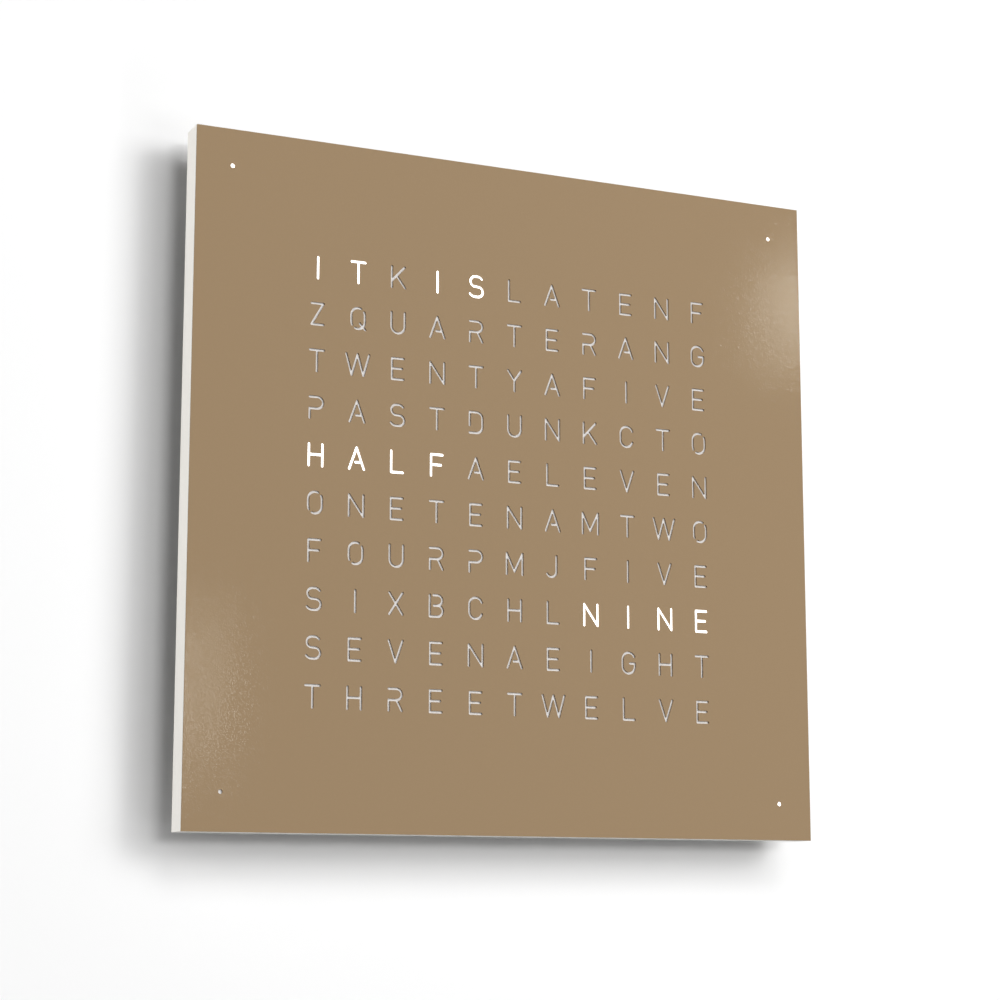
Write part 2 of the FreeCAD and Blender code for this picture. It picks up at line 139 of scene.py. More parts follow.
def makeGrain():
    # Two sizes of fine noise: a height for the bump and a mask for the colour
    group, given, out = newGroup("fineGrain", [
        ("Scale", "NodeSocketFloat", 1000.0),
        ("Stretch", "NodeSocketVector", (1.0, 1.0, 1.0)),
        ("Detail", "NodeSocketFloat", 2.0),
    ], ["Height", "Mask"])
    stretched = addNode(group, "ShaderNodeVectorMath", {0: objectPlace(group), 1: given["Stretch"]},
                        operation="MULTIPLY").outputs[0]
    fine = addNode(group, "ShaderNodeTexNoise", {
        "Vector": stretched, "Scale": given["Scale"],
        "Detail": given["Detail"], "Roughness": noise["fineRoughness"]})
    coarse = addNode(group, "ShaderNodeTexNoise", {
        "Vector": stretched, "Scale": addMath(group, "MULTIPLY", given["Scale"], noise["coarseScale"]),
        "Detail": noise["coarseDetail"]})
    both = addMath(group, "ADD", fine.outputs[0], coarse.outputs[0])
    height = addMath(group, "MULTIPLY", both, 0.5)
    group.links.new(height, out["Height"])
    group.links.new(addRange(group, height, noise["maskEnds"]), out["Mask"])
    return group


def makePatches():
    # Slow cloudy change from one place to another
    group, given, out = newGroup("softPatches", [
        ("Scale", "NodeSocketFloat", 12.0),
        ("Low", "NodeSocketFloat", 0.0),
        ("High", "NodeSocketFloat", 1.0),
    ], ["Value"])
    cloud = addNode(group, "ShaderNodeTexNoise", {
        "Vector": objectPlace(group), "Scale": given["Scale"], "Detail": noise["patchDetail"]})
    value = addRange(group, cloud.outputs[0], noise["patchEnds"], (given["Low"], given["High"]))
    group.links.new(value, out["Value"])
    return group


def makeFlakes():
    # Single specks: a share of all cells, picked by the chance colour of each
    group, given, out = newGroup("flakes", [
        ("Scale", "NodeSocketFloat", 1500.0),
        ("Share", "NodeSocketFloat", 0.2),
    ], ["Mask"])
    cells = addNode(group, "ShaderNodeTexVoronoi", {"Vector": objectPlace(group), "Scale": given["Scale"]})
    chance = addNode(group, "ShaderNodeSeparateColor", {"Color": cells.outputs["Color"]}).outputs[0]
    limit = addMath(group, "SUBTRACT", 1.0, given["Share"])
    group.links.new(addMath(group, "GREATER_THAN", chance, limit), out["Mask"])
    return group


def makeTracks():
    # Lines along the borders of square-cornered cells
    group, given, out = newGroup("tracks", [("Scale", "NodeSocketFloat", 200.0)], ["Mask"])
    place = objectPlace(group)
    nearest, second = (
        addNode(group, "ShaderNodeTexVoronoi", {"Vector": place, "Scale": given["Scale"]},
                distance="MANHATTAN", feature=feature).outputs["Distance"]
        for feature in ("F1", "F2"))
    gap = addMath(group, "SUBTRACT", second, nearest)
    group.links.new(addMath(group, "LESS_THAN", gap, noise["trackWidth"]), out["Mask"])
    return group


grainGroup = makeGrain()
trackGroup = makeTracks()
patchGroup = makePatches()
flakeGroup = makeFlakes()


def newMaterial(name):
    material = bpy.data.materials.new(name)
    material.use_nodes = True
    tree = material.node_tree
    return material, tree, tree.nodes["Principled BSDF"]


def useGroup(tree, group, values):
    return addNode(tree, "ShaderNodeGroup", values, node_tree=group).outputs


def scaled(colour, factor):
    return tuple(channel * factor for channel in colour[:3]) + (1.0,)


def grainColour(tree, grain, look):
    # Two near colours in a fine grain
    dark, light = (scaled(look["colour"], factor) for factor in (1 - look["shift"], 1 + look["shift"]))
    return mixColours(tree, grain["Mask"], dark, light)


def setSurface(tree, shader, look, base, height=None):
    # Colour, cloudy gloss and, where a height is given, a grain to the touch
    gloss = useGroup(tree, patchGroup, {
        "Scale": look["cloud"], "Low": look["gloss"][0], "High": look["gloss"][1]})
    tree.links.new(base, shader.inputs["Base Color"])
    tree.links.new(gloss["Value"], shader.inputs["Roughness"])
    shader.inputs["Specular IOR Level"].default_value = look["specular"]
    if height is not None:
        bump = addNode(tree, "ShaderNodeBump", {
            "Height": height, "Strength": look["depth"], "Distance": look["relief"] * mm})
        tree.links.new(bump.outputs[0], shader.inputs["Normal"])


# Shapes and pieces

onFace = 0.1  # millimetres within which a vertex counts as on a face


def meshObject(mesh, name):
    mesh.name = name
    thing = bpy.data.objects.new(name, mesh)
    scene.collection.objects.link(thing)
    return thing


def looseObject(shape, name):
    mesh = bpy.data.meshes.new(name)
    shape.to_mesh(mesh)
    shape.free()
    return meshObject(mesh, name)


def takeMesh(thing):
    mesh = thing.data
    bpy.data.objects.remove(thing)
    return mesh


def joined(first, second, operation, name):
    # Boolean of two loose closed solids, which it uses up
    change = first.modifiers.new("join", "BOOLEAN")
    change.operation = operation
    change.object = second
    change.solver = "MANIFOLD"
    mesh = bpy.data.meshes.new_from_object(first.evaluated_get(bpy.context.evaluated_depsgraph_get()))
    mesh.materials.clear()
    for used in (first, second):
        bpy.data.objects.remove(used)
    return meshObject(mesh, name)


def addBlock(shape, low, high):
    middle = (Vector(low) + Vector(high)) / 2
    size = Vector(high) - Vector(low)
    place = Matrix.Translation(middle) @ Matrix.Diagonal(size.to_4d())
    bmesh.ops.create_cube(shape, size=1, matrix=place)


def addRod(shape, start, end, radius, sides):
    run = Vector(end) - Vector(start)
    turn = run.to_track_quat("Z", "Y").to_matrix().to_4x4()
    bmesh.ops.create_cone(shape, cap_ends=True, segments=sides, radius1=radius, radius2=radius,
                          depth=run.length,
                          matrix=Matrix.Translation((Vector(start) + Vector(end)) / 2) @ turn)


def addCopy(shape, mesh, place, size=1.0):
    before = set(shape.verts)
    shape.from_mesh(mesh)
    placed = [vertex for vertex in shape.verts if vertex not in before]
    bmesh.ops.scale(shape, verts=placed, vec=(size, size, size))
    bmesh.ops.translate(shape, verts=placed, vec=place)


def breakEdges(shape, edges, width, steps=2):
    bmesh.ops.bevel(shape, geom=edges, offset=width, segments=steps, profile=0.5, affect="EDGES",
                    material=-1)


def dressPiece(piece, body, materials, stands, smooth=None):
    for material in materials:
        piece.data.materials.append(material)
    if smooth:
        piece.data.shade_smooth()
        piece.data.set_sharp_from_angle(angle=math.radians(smooth))
    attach(piece, body)
    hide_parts(*stands)


# Wall and light

stage = {
    "wallSide": 9.0,
    "wallBehind": 0.3 * mm,
    "wallColour": (0.93, 0.93, 0.93, 1.0),
    "wallBounce": (0.5, 0.5, 0.5, 1.0),
    "fade": (0.6, 1.1),
    "lampFar": 6.0,
}

glowTint = (1.0, 0.98, 0.87)

# Degrees to the right and up from straight ahead of the clock, and how wide and high the lamp looks
# from there; level 1 alone lights the wall fully, or the clock's back where the lamp stands behind it
lamps = {
    "key": {"right": 39.3, "up": 11.1, "spread": (24.2, 24.7), "level": 0.288},
    "highRight": {"right": 27.5, "up": 23.4, "spread": (22.2, 24.6), "level": 0.273},
    "lowRight": {"right": 30, "up": -18.6, "spread": (24.2, 18.5), "level": 0.096},
    "front": {"right": 4.2, "up": 5.7, "spread": (13.3, 7.2), "level": 0.197},
    "high": {"right": 3.6, "up": 38.8, "spread": (20.7, 14.8), "level": 0.157},
    "left": {"right": -43.4, "up": 25.3, "spread": (54.6, 19.8), "level": 0.104},
    "low": {"right": 43.2, "up": -60, "spread": (4.0, 51.5), "level": 0.065},
    "rightGlow": {"right": 34.2, "up": 15.5, "far": 6.15, "spread": (0.6, 2.8), "level": 0.0022,
                  "colour": glowTint, "mirrored": True},
    "leftGlow": {"right": 15.2, "up": 4.0, "far": 5.93, "spread": (0.6, 4.5), "level": 0.00205,
                 "colour": glowTint, "mirrored": True},
    "rearLeft": {"right": -135, "up": 12, "spread": (24, 30), "level": 0.6},
    "rearLeftShine": {"right": -135, "up": 12, "spread": (30, 34), "level": 0.15, "mirrored": True},
    "rearRight": {"right": 150, "up": 25, "spread": (24, 30), "level": 0.22},
    "rearRightShine": {"right": 150, "up": 25, "spread": (26, 30), "level": 0.08, "mirrored": True},
}


def makeWall():
    shape = bmesh.new()
    bmesh.ops.create_grid(shape, x_segments=1, y_segments=1, size=stage["wallSide"] / 2)
    bmesh.ops.rotate(shape, verts=shape.verts, matrix=Matrix.Rotation(math.radians(90), 3, "X"))
    bmesh.ops.translate(shape, verts=shape.verts, vec=(0, stage["wallBehind"], 0))
    wall = looseObject(shape, "wall")
    material, tree, shader = newMaterial("wallPaint")
    shader.inputs["Roughness"].default_value = 1.0
    shader.inputs["Specular IOR Level"].default_value = 0.0
    seen = addNode(tree, "ShaderNodeLightPath").outputs
    paint = mixColours(tree, seen["Is Camera Ray"], stage["wallBounce"], stage["wallColour"])
    tree.links.new(paint, shader.inputs["Base Color"])
    # White by itself far from the clock
    away = addNode(tree, "ShaderNodeVectorMath", {0: objectPlace(tree)}, operation="LENGTH").outputs["Value"]
    white = addMath(tree, "MULTIPLY", addRange(tree, away, stage["fade"]), seen["Is Camera Ray"])
    tree.links.new(white, shader.inputs["Emission Strength"])
    # Clear from behind, in reflections, and to the rear lamps' straight light on the clock's back
    straight = addMath(tree, "LESS_THAN", seen["Diffuse Depth"], 0.5)
    rear = addMath(tree, "MULTIPLY", seen["Is Shadow Ray"], straight)
    backwards = addNode(tree, "ShaderNodeNewGeometry").outputs["Backfacing"]
    behind = addMath(tree, "MAXIMUM", backwards, seen["Is Glossy Ray"])
    clear = addMath(tree, "MAXIMUM", rear, behind)
    gap = addNode(tree, "ShaderNodeBsdfTransparent")
    mix = addNode(tree, "ShaderNodeMixShader", {0: clear, 1: shader.outputs[0], 2: gap.outputs[0]})
    tree.links.new(mix.outputs[0], tree.nodes["Material Output"].inputs["Surface"])
    wall.data.materials.append(material)


def makeWorld():
    # White to look at, mirrored and through glass, and no light of its own
    world = bpy.data.worlds.new("studio")
    scene.world = world
    world.use_nodes = True
    tree = world.node_tree
    seen = addNode(tree, "ShaderNodeLightPath").outputs
    either = addMath(tree, "MAXIMUM", seen["Is Camera Ray"], seen["Is Glossy Ray"])
    level = addMath(tree, "MAXIMUM", either, seen["Is Transmission Ray"])
    back = tree.nodes["Background"]
    back.inputs["Color"].default_value = (1, 1, 1, 1)
    tree.links.new(level, back.inputs["Strength"])


def makeLamps():
    for name, lamp in lamps.items():
        far = lamp.get("far", stage["lampFar"])
        right = math.radians(lamp["right"])
        up = math.radians(lamp["up"])
        towards = Vector((math.sin(right) * math.cos(up), -math.cos(right) * math.cos(up), math.sin(up)))
        data = bpy.data.lights.new(name, "AREA")
        data.shape = "RECTANGLE"
        data.size, data.size_y = (2 * far * math.tan(math.radians(angle) / 2) for angle in lamp["spread"])
        data.energy = lamp["level"] * (math.pi * far) ** 2 / abs(math.cos(right) * math.cos(up))
        data.color = lamp.get("colour", (1.0, 1.0, 1.0))
        holder = bpy.data.objects.new(name, data)
        holder.visible_glossy = lamp.get("mirrored", False)
        scene.collection.objects.link(holder)
        holder.location = coverFront + towards * far
        holder.rotation_euler = (-towards).to_track_quat("-Z", "Y").to_euler()


makeWall()
makeWorld()
makeLamps()
print("wall and lamps ready")


# Letters, in millimetres from the middle of a letter's cell

letter = {
    "stroke": 1.6,
    "rise": 7.0,
    "bar": 0.2,
    "cell": (28.2, 31.0),
    "arcStep": 15.0,
    "dotRadius": 1.4,
    "dotPlace": 200.4,
    "dotSides": 32,
    "cutDepth": 4.0,
    "depthStep": 0.05,
    "widthStep": 0.01,
    "tipSides": 16,
    "tipWidth": 0.995,
    "tipDepth": 0.99,
}

letterRows = (
    "ITKISLATENF",
    "ZQUARTERANG",
    "TWENTYAFIVE",
    "PASTDUNKCTO",
    "HALFAELEVEN",
    "ONETENAMTWO",
    "FOURPMJFIVE",
    "SIXBCHLNINE",
    "SEVENAEIGHT",
    "THREETWELVE",
)

litRuns = ((0, 0, 2), (0, 3, 2), (4, 0, 4), (7, 7, 4))  # row, first column, how many
litDots = ((-1, 1), (1, 1), (1, -1))

top = letter["rise"]
bar = letter["bar"]

# Each stroke is a straight line (x, z to x, z) or an arc (x, z, radius, from and to in degrees)
glyphs = {
    "A": [(-5.1, -top, 0, top), (0, top, 5.1, -top), (-0.7, -2.6, 3.5, -2.6)],
    "B": [(-4.5, -top, -4.5, top), (-4.5, -top, 1.1, -top), (1.1, -3.4, 3.6, -90, 90), (-1.6, bar, 1.1, bar),
          (0.9, 3.6, 3.4, -90, 90), (-1.9, top, 0.9, top)],
    "C": [(0, 2.4, 4.6, 18, 180), (-4.6, 2.4, -4.6, -2.4), (0, -2.4, 4.6, 180, 342)],
    "D": [(-4.6, -2.2, -4.6, top), (-4.6, top, 0.4, top), (0.4, 2.8, 4.2, 0, 90), (4.6, 2.8, 4.6, -2.8),
          (0.4, -2.8, 4.2, -90, 0), (0.4, -top, -4.6, -top)],
    "E": [(-4.05, -top, -4.05, top), (-4.05, top, 4.05, top), (-4.05, bar, 3.0, bar),
          (-4.05, -top, 4.05, -top)],
    "F": [(-4.05, -top, -4.05, top), (-4.05, top, 4.05, top), (-4.05, bar, 2.9, bar)],
    "G": [(0, 2.4, 4.6, 22, 180), (-4.6, 2.4, -4.6, -2.4), (0, -2.4, 4.6, 180, 360), (4.6, -2.4, 4.6, -bar),
          (4.6, -bar, 1.0, -bar)],
    "H": [(-4.6, -top, -4.6, top), (4.6, -top, 4.6, top), (-4.6, bar, 4.6, bar)],
    "I": [(0, -top, 0, top)],
    "J": [(2.6, top, 2.6, -3.4), (-1.0, -3.4, 3.6, 205, 360)],
    "K": [(-4.6, -top, -4.6, top), (-4.6, -2.6, 4.4, top), (-1.2, 1.03, 4.8, -top)],
    "L": [(-4.05, top, -4.05, -top), (-4.05, -top, 4.05, -top)],
    "M": [(-5.75, -top, -5.75, top), (-5.75, top, 0, -5.0), (0, -5.0, 5.75, top), (5.75, top, 5.75, -top)],
    "N": [(-4.95, -top, -4.95, top), (-4.95, top, 4.95, -top), (4.95, -top, 4.95, top)],
    "O": [(0, 2.3, 4.7, 64, 180), (-4.7, 2.3, -4.7, -2.3), (0, -2.3, 4.7, 180, 208), (0, -2.3, 4.7, 244, 360),
          (4.7, -2.3, 4.7, 2.3), (0, 2.3, 4.7, 0, 28)],
    "P": [(-4.5, top, 0.8, top), (0.8, 3.2, 3.8, -90, 90), (0.8, -0.6, -4.5, -0.6), (-4.5, -0.6, -4.5, -top)],
    "Q": [(0, 2.3, 4.7, 64, 180), (-4.7, 2.3, -4.7, -2.3), (0, -2.3, 4.7, 180, 208), (0, -2.3, 4.7, 244, 360),
          (4.7, -2.3, 4.7, 2.3), (0, 2.3, 4.7, 0, 28), (1.3, -3.4, 5.0, -top - 0.3)],
    "R": [(-4.5, top, 0.9, top), (0.9, 3.4, 3.6, -90, 90), (0.9, -0.2, -4.5, -0.2), (-4.5, -0.2, -4.5, -top),
          (0.9, -0.2, 4.5, -top)],
    "S": [(0.8, 2.9, 4.1, 38, 90), (0.8, top, -0.7, top), (-0.7, 3.5, 3.5, 90, 250), (-1.9, 0.21, 2.5, -0.21),
          (1.3, -3.5, 3.5, -90, 70), (1.3, -top, -0.9, -top), (-0.9, -2.4, 4.6, 217, 270)],
    "T": [(-4.75, top, 4.75, top), (0, top, 0, -top)],
    "U": [(-4.7, top, -4.7, -2.3), (0, -2.3, 4.7, 180, 360), (4.7, -2.3, 4.7, top)],
    "V": [(-4.8, top, 0, -top), (0, -top, 4.8, top)],
    "W": [(-8.0, top, -4.1, -top), (-4.1, -top, 0, top), (0, top, 4.1, -top), (4.1, -top, 8.0, top)],
    "X": [(-4.6, top, 4.6, -top), (4.6, top, -4.6, -top)],
    "Y": [(-4.8, top, 0, bar), (0, bar, 4.8, top), (0, bar, 0, -top)],
    "Z": [(-4.05, top, 4.05, top), (4.05, top, -4.05, -top), (-4.05, -top, 4.05, -top)],
}


def cellPlace(row, column):
    across = (column - (len(letterRows[0]) - 1) / 2) * letter["cell"][0]
    up = ((len(letterRows) - 1) / 2 - row) * letter["cell"][1]
    return Vector((across, 0, up))


def dotPlace(i, k):
    return Vector((i, 0, k)) * letter["dotPlace"]


def straightCut(start, end, along, width, depth):
    # Straight slot with round ends
    solid = bmesh.new()
    half = math.pi / letter["tipSides"]
    turn = Matrix.Rotation(half - math.atan2(along.z, along.x), 4, "Y") @ Matrix.Rotation(math.pi / 2, 4, "X")
    radius = width / 2 / math.cos(half)
    bmesh.ops.create_cone(solid, cap_ends=True, segments=letter["tipSides"], radius1=radius, radius2=radius,
                          depth=depth, matrix=Matrix.Translation(start) @ turn)
    far = [vertex for vertex in solid.verts if (vertex.co - start).dot(along) > 0]
    bmesh.ops.translate(solid, verts=far, vec=end - start)
    return solid


def arcCut(middle, radius, first, last, width, depth):
    # Slot along an arc and the two round ends it needs
    solid = bmesh.new()
    low = Vector((radius - width / 2, -depth / 2, 0))
    corners = [low, low + Vector((width, 0, 0)), low + Vector((width, depth, 0)), low + Vector((0, depth, 0))]
    toFirst = Matrix.Rotation(-first, 3, "Y")
    face = solid.faces.new([solid.verts.new(middle + toFirst @ corner) for corner in corners])
    steps = math.ceil((last - first) / math.radians(letter["arcStep"]))
    bmesh.ops.spin(solid, geom=[face] + face.edges[:] + face.verts[:], cent=middle, axis=(0, -1, 0),
                   angle=last - first, steps=steps, use_duplicate=False)
    ends = []
    for angle in (first, last):
        outward = Vector((math.cos(angle), 0, math.sin(angle)))
        tip = middle + radius * outward
        ends.append(straightCut(tip, tip, outward.cross(Vector((0, 1, 0))), width * letter["tipWidth"],
                                depth * letter["tipDepth"]))
    return [solid] + ends


def makeGlyph(name):
    # The strokes of a letter fused one after the other, each a hair wider and deeper than the last
    solids = []
    for i, stroke in enumerate(glyphs[name]):
        width = letter["stroke"] + i * letter["widthStep"]
        depth = letter["cutDepth"] + i * letter["depthStep"]
        if len(stroke) == 4:
            start = Vector((stroke[0], 0, stroke[1]))
            end = Vector((stroke[2], 0, stroke[3]))
            solids.append(straightCut(start, end, (end - start).normalized(), width, depth))
        else:
            x, z, radius, first, last = stroke
            solids += arcCut(Vector((x, 0, z)), radius, math.radians(first), math.radians(last), width, depth)
    whole = None
    for solid in solids:
        bmesh.ops.recalc_face_normals(solid, faces=solid.faces)
        part = looseObject(solid, "stroke")
        whole = joined(whole, part, "UNION", "stroke") if whole else part
    return takeMesh(whole)


def makeLetterCuts():
    solids = {name: makeGlyph(name) for name in sorted(set("".join(letterRows)))}
    cuts = bmesh.new()
    for row, text in enumerate(letterRows):
        for column, name in enumerate(text):
            addCopy(cuts, solids[name], cellPlace(row, column))
    depth = Vector((0, letter["cutDepth"] / 2, 0))
    for i in (-1, 1):
        for k in (-1, 1):
            middle = dotPlace(i, k)
            addRod(cuts, middle - depth, middle + depth, letter["dotRadius"], letter["dotSides"])
    return cuts


# Powder-coated cover

coverCoat = {
    "colour": (0.290, 0.193, 0.098),
    "shift": 0.004,
    "fleck": (0.305, 0.203, 0.105, 1.0),
    "fleckScale": 1400.0,
    "fleckShare": 0.12,
    "fleckStrength": 0.25,
    "gloss": (0.044, 0.049),
    "cloud": 9.0,
    "specular": 0.5,
    "grain": 1300.0,
    "depth": 0.5,
    "relief": 0.07,
    "edge": 0.25,
}


def makeCoverCoat():
    material, tree, shader = newMaterial("sandPowderCoat")
    grain = useGroup(tree, grainGroup, {"Scale": coverCoat["grain"], "Detail": 0.0})
    flecks = useGroup(tree, flakeGroup, {"Scale": coverCoat["fleckScale"], "Share": coverCoat["fleckShare"]})
    faint = addMath(tree, "MULTIPLY", flecks["Mask"], coverCoat["fleckStrength"])
    base = mixColours(tree, faint, grainColour(tree, grain, coverCoat), coverCoat["fleck"])
    setSurface(tree, shader, coverCoat, base, grain["Height"])
    return material


def makeCover():
    # Cut in millimetres about the middle of the sheet, then brought to its place
    sheet = bmesh.new()
    addBlock(sheet, (coverLow - coverMiddle) / mm, (coverHigh - coverMiddle) / mm)
    front = min(vertex.co.y for vertex in sheet.verts)
    rim = [edge for edge in sheet.edges if min(vertex.co.y for vertex in edge.verts) < front + onFace]
    breakEdges(sheet, rim, coverCoat["edge"])
    cuts = looseObject(makeLetterCuts(), "letterCuts")
    piece = joined(looseObject(sheet, "sheet"), cuts, "DIFFERENCE", "lettered_cover")
    piece.data.transform(Matrix.Translation(coverMiddle) @ Matrix.Scale(mm, 4))
    dressPiece(piece, "cover", [makeCoverCoat()], ["front_cover"])


makeCover()
print("cover cut")


# Opal sheet behind the letters

opal = {
    "colour": (0.70, 0.684, 0.675),
    "shift": 0.01,
    "grain": 500.0,
    "gloss": (0.35, 0.45),
    "cloud": 20.0,
    "specular": 0.1,
    "unlit": 0.0,
    "lit": 2.8,
    "litColour": (1.0, 1.0, 1.0, 1.0),
    "dotCell": 12.0,
    "placeFit": 1.0,
}


def makeOpal(name, glow):
    material, tree, shader = newMaterial(name)
    grain = useGroup(tree, grainGroup, {"Scale": opal["grain"]})
    setSurface(tree, shader, opal, grainColour(tree, grain, opal))
    shader.inputs["Emission Color"].default_value = opal["litColour"]
    shader.inputs["Emission Strength"].default_value = glow
    return material


def makeDiffuser():
    # One sheet, whose faces in front of the lit chambers glow
    low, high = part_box("diffuser_panel")
    sheet = bmesh.new()
    addBlock(sheet, low, high)
    cellW, cellH = letter["cell"]
    acrossLines = [(column - len(letterRows[0]) / 2) * cellW for column in range(len(letterRows[0]) + 1)]
    upLines = [(row - len(letterRows) / 2) * cellH for row in range(len(letterRows) + 1)]
    for lines in (acrossLines, upLines):
        for side in (-1, 1):
            for edge in (-opal["dotCell"] / 2, opal["dotCell"] / 2):
                lines.append(side * letter["dotPlace"] + edge)
    for normal, lines in (((1, 0, 0), acrossLines), ((0, 0, 1), upLines)):
        for line in lines:
            whole = sheet.verts[:] + sheet.edges[:] + sheet.faces[:]
            bmesh.ops.bisect_plane(sheet, geom=whole, plane_co=coverMiddle + Vector(normal) * line * mm,
                                   plane_no=normal)
    litPlaces = [cellPlace(row, first + step) for row, first, count in litRuns for step in range(count)]
    litPlaces += [dotPlace(i, k) for i, k in litDots]
    sheet.normal_update()
    for face in sheet.faces:
        middle = (face.calc_center_median() - coverMiddle) / mm
        near = any(abs(place.x - middle.x) < opal["placeFit"] and abs(place.z - middle.z) < opal["placeFit"]
                   for place in litPlaces)
        if near and face.normal.y < -0.5:
            face.material_index = 1
    materials = [makeOpal("opalSheet", opal["unlit"]), makeOpal("opalSheetLit", opal["lit"])]
    piece = looseObject(sheet, "opal_sheet")
    dressPiece(piece, "clock", materials, ["diffuser_panel"])


makeDiffuser()
print("opal sheet lit")


# Finishes of the other parts

# Taken where a finish gives no value of its own
plainFinish = {
    "stretch": (1.0, 1.0, 1.0),
    "cloud": 14.0,
    "shift": 0.04,
    "depth": 0.2,
    "relief": 0.1,
    "specular": 0.5,
    "metal": 0.0,
    "clear": 0.0,
    "trackScale": 240.0,
    "spangleScale": 160.0,
    "spangleShare": 0.5,
    "spangleColour": (1.0, 1.0, 1.0, 1.0),
}

finishes = {
    "case_lacquer": {"colour": (0.80, 0.775, 0.725), "grain": 900.0, "gloss": (0.5, 0.58), "shift": 0.01,
                     "depth": 0.08, "relief": 0.03, "specular": 0.3},
    "panel_lacquer": {"colour": (0.70, 0.68, 0.64), "grain": 500.0, "gloss": (0.55, 0.7), "shift": 0.03},
    "clear_acrylic": {"colour": (0.93, 0.95, 0.95), "grain": 400.0, "gloss": (0.04, 0.09), "depth": 0.02,
                      "shift": 0.01, "clear": 1.0},
    "white_moulding": {"colour": (0.85, 0.85, 0.84), "grain": 800.0, "gloss": (0.5, 0.6), "shift": 0.01},
    "black_moulding": {"colour": (0.022, 0.022, 0.024), "grain": 1500.0, "gloss": (0.42, 0.56), "shift": 0.15,
                       "depth": 0.5},
    "button_moulding": {"colour": (0.72, 0.70, 0.66), "grain": 1500.0, "gloss": (0.4, 0.5), "shift": 0.02},
    "white_board": {"colour": (0.78, 0.79, 0.78), "grain": 700.0, "gloss": (0.3, 0.4), "shift": 0.02,
                    "tracks": (0.70, 0.71, 0.69, 1.0)},
    "green_board": {"colour": (0.02, 0.16, 0.07), "grain": 700.0, "gloss": (0.25, 0.35), "shift": 0.1,
                    "tracks": (0.05, 0.30, 0.12, 1.0)},
    "zinc_sheet": {"colour": (0.50, 0.51, 0.53), "grain": 320.0, "stretch": (0.12, 1, 1),
                   "gloss": (0.36, 0.52), "metal": 1.0, "shift": 0.07, "depth": 0.12, "spangle": 0.03},
    "bright_steel": {"colour": (0.60, 0.60, 0.61), "grain": 1800.0, "gloss": (0.22, 0.32), "metal": 1.0},
    "magnet_nickel": {"colour": (0.6, 0.59, 0.57), "grain": 900.0, "gloss": (0.15, 0.25), "metal": 1.0},
    "ochre_moulding": {"colour": (0.55, 0.33, 0.07), "grain": 1500.0, "gloss": (0.5, 0.6)},
    "contact_brass": {"colour": (0.65, 0.48, 0.22), "grain": 1500.0, "gloss": (0.2, 0.3), "metal": 1.0},
    "foot_rubber": {"colour": (0.035, 0.035, 0.037), "grain": 900.0, "gloss": (0.75, 0.85), "shift": 0.2,
                    "depth": 0.6},
    "led_package": {"colour": (0.82, 0.82, 0.80), "grain": 900.0, "gloss": (0.35, 0.45), "shift": 0.02},
    "phosphor": {"colour": (0.80, 0.62, 0.10), "grain": 1500.0, "gloss": (0.2, 0.3), "shift": 0.06},
}


def makeFinish(name, given):
    look = {**plainFinish, **given}
    material, tree, shader = newMaterial(name)
    grain = useGroup(tree, grainGroup, {"Scale": look["grain"], "Stretch": look["stretch"]})
    base = grainColour(tree, grain, look)
    if "tracks" in look:
        lines = useGroup(tree, trackGroup, {"Scale": look["trackScale"]})
        base = mixColours(tree, lines["Mask"], base, look["tracks"])
    if "spangle" in look:
        crystals = useGroup(tree, flakeGroup, {"Scale": look["spangleScale"], "Share": look["spangleShare"]})
        part = addMath(tree, "MULTIPLY", crystals["Mask"], look["spangle"])
        base = mixColours(tree, part, base, look["spangleColour"])
    setSurface(tree, shader, look, base, grain["Height"])
    shader.inputs["Metallic"].default_value = look["metal"]
    shader.inputs["Transmission Weight"].default_value = look["clear"]
    return material


finishMade = {name: makeFinish(name, look) for name, look in finishes.items()}
nodeSlots = {part["node"]: part["material_slot"] for part in frame["record"]["subparts"]}
nodeBodies = {node: body for body, nodes in frame["record"]["behaviour"]["bodies"].items() for node in nodes}


def dressNodes():
    for node, slot in nodeSlots.items():
        if slot in finishMade:
            thing = frame["nodes"][node]
            thing.data.materials.clear()
            thing.data.materials.append(finishMade[slot])


def replaceNode(shape, prefix, node, extra=(), smooth=None):
    slot = nodeSlots[node]
    materials = [finishMade[name] for name in (slot, *extra)]
    piece = looseObject(shape, prefix + node)
    dressPiece(piece, nodeBodies[node], materials, [node], smooth)


def mergedCopy(node):
    shape = bmesh.new()
    shape.from_mesh(frame["nodes"][node].data)
    bmesh.ops.remove_doubles(shape, verts=shape.verts, dist=0.001 * mm)
    return shape


def solidBoxes(node):
    # The corners of each separate solid of a part
    shape = mergedCopy(node)
    left = set(shape.verts)
    boxes = []
    while left:
        queue = [left.pop()]
        found = []
        while queue:
            vertex = queue.pop()
            found.append(vertex.co.copy())
            for edge in vertex.link_edges:
                other = edge.other_vert(vertex)
                if other in left:
                    left.remove(other)
                    queue.append(other)
        boxes.append([Vector(pick(point[axis] for point in found) for axis in range(3))
                      for pick in (min, max)])
    shape.free()
    return sorted(boxes, key=lambda box: tuple(box[0]))


dressNodes()
print("finishes on")


# Broken edges, in millimetres; the softening's angles are in degrees

softEdges = {
    "case_frame": 0.15, "back_panel": 0.3, "wall_bracket": 0.3, "hanger_rail": 0.3, "service_box": 0.4,
    "battery_hatch": 0.2, "spacer_feet": 0.4, "foot_pads": 0.5, "dc_jack": 0.2, "coin_cell_holder": 0.1,
    "coin_cell": 0.3, "cover_magnets": 0.2, "cover_pegs": 0.2, "light_grid": 0.2, "dot_reflectors": 0.15,
    "controller_chips": 0.15, "supply_capacitors": 0.15, "quartz_crystal": 0.15, "link_connector": 0.2,
    "button_carrier": 0.2, "button_switches": 0.15,
}
softening = {"flat": 0.5, "corner": 35, "crease": 25, "strip": 6.0}


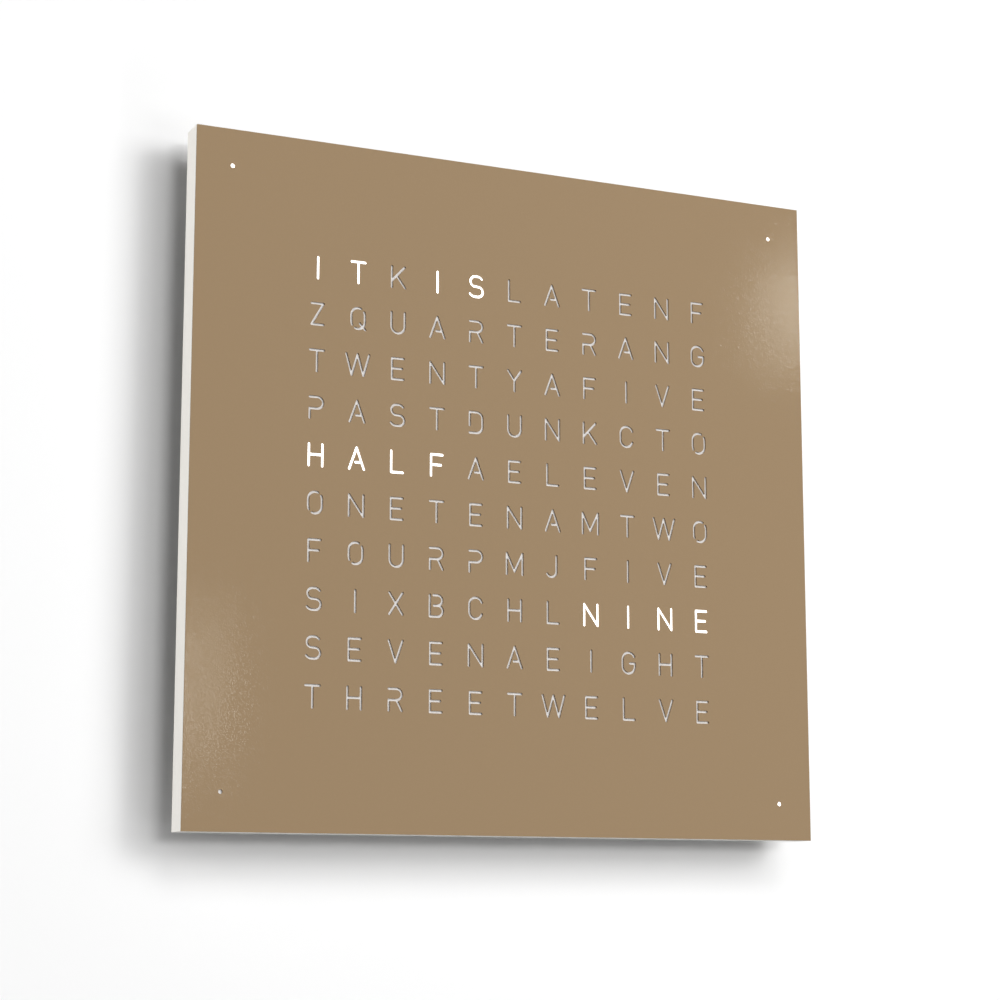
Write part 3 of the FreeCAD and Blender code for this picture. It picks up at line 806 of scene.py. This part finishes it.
def softenPart(node, width):
    # A copy of the part with its outer edges broken; narrow faces are smooth across slight bends
    shape = mergedCopy(node)
    bmesh.ops.dissolve_limit(shape, angle_limit=math.radians(softening["flat"]), verts=shape.verts,
                             edges=shape.edges, use_dissolve_boundaries=False)
    corner = math.radians(softening["corner"])
    outer = [edge for edge in shape.edges if edge.is_convex and edge.calc_face_angle() > corner]
    breakEdges(shape, outer, width * mm)
    shape.normal_update()
    for face in shape.faces:
        longest = max(edge.calc_length() for edge in face.edges)
        face.smooth = face.calc_area() / longest < softening["strip"] * mm
    crease = math.radians(softening["crease"])
    for edge in shape.edges:
        edge.smooth = edge.calc_face_angle() < crease
    replaceNode(shape, "rounded_", node)


for node, width in softEdges.items():
    softenPart(node, width)
print("edges broken")


# Screws with a cross recess

screw = {
    "headHeight": 1.8,
    "headSides": 32,
    "round": 0.9,
    "roundSteps": 4,
    "slotLength": 3.6,
    "slotWidth": 0.75,
    "slotDepth": 0.9,
    "slotAbove": 1.0,
    "secondLift": 0.01,
    "shankRadius": 1.5,
    "shankSides": 16,
    "overlap": 0.5,
    "crease": 30,
}


def makeScrew(headRadius, length):
    # Head towards +Y with its seat at zero, in millimetres
    head = bmesh.new()
    addRod(head, (0, 0, 0), (0, screw["headHeight"], 0), headRadius, screw["headSides"])
    rim = [edge for edge in head.edges if min(vertex.co.y for vertex in edge.verts) > onFace]
    breakEdges(head, rim, screw["round"], screw["roundSteps"])
    shank = bmesh.new()
    addRod(shank, (0, -length, 0), (0, screw["overlap"], 0), screw["shankRadius"], screw["shankSides"])
    whole = joined(looseObject(head, "head"), looseObject(shank, "shank"), "UNION", "screw")
    reach, half = screw["slotLength"] / 2, screw["slotWidth"] / 2
    floor = screw["headHeight"] - screw["slotDepth"]
    for x, z, lift in ((reach, half, 0), (half, reach, screw["secondLift"])):
        slot = bmesh.new()
        addBlock(slot, (-x, floor + lift, -z), (x, screw["headHeight"] + screw["slotAbove"], z))
        whole = joined(whole, looseObject(slot, "slot"), "DIFFERENCE", "screw")
    return takeMesh(whole)


def makeScrews(node):
    shape = bmesh.new()
    for low, high in solidBoxes(node):
        radius = (high.x - low.x) / 2 / mm
        length = (high.y - low.y) / mm - screw["headHeight"]
        middle = (low + high) / 2
        seat = (middle.x, high.y - screw["headHeight"] * mm, middle.z)
        addCopy(shape, makeScrew(radius, length), seat, mm)
    replaceNode(shape, "cross_", node, smooth=screw["crease"])


for node in ("back_panel_screws", "hanger_screws", "service_box_screws"):
    makeScrews(node)
print("screws made")


# LEDs in white housings with a phosphor window

led = {"window": 0.38, "step": 0.15, "reach": 1.5, "sides": 12}


def makeLeds(node):
    # The housing starts a step behind the window's face, and the window reaches into it
    shape = bmesh.new()
    step = Vector((0, led["step"] * mm, 0))
    for low, high in solidBoxes(node):
        addBlock(shape, low + step, high)
        front = Vector(((low.x + high.x) / 2, low.y, (low.z + high.z) / 2))
        before = set(shape.faces)
        radius = led["window"] * min(high.x - low.x, high.z - low.z)
        addRod(shape, front + step * led["reach"], front, radius, led["sides"])
        for face in shape.faces:
            if face not in before:
                face.material_index = 1
    replaceNode(shape, "white_", node, ["phosphor"])


for node in ("letter_leds", "dot_leds"):
    makeLeds(node)
print("leds made")
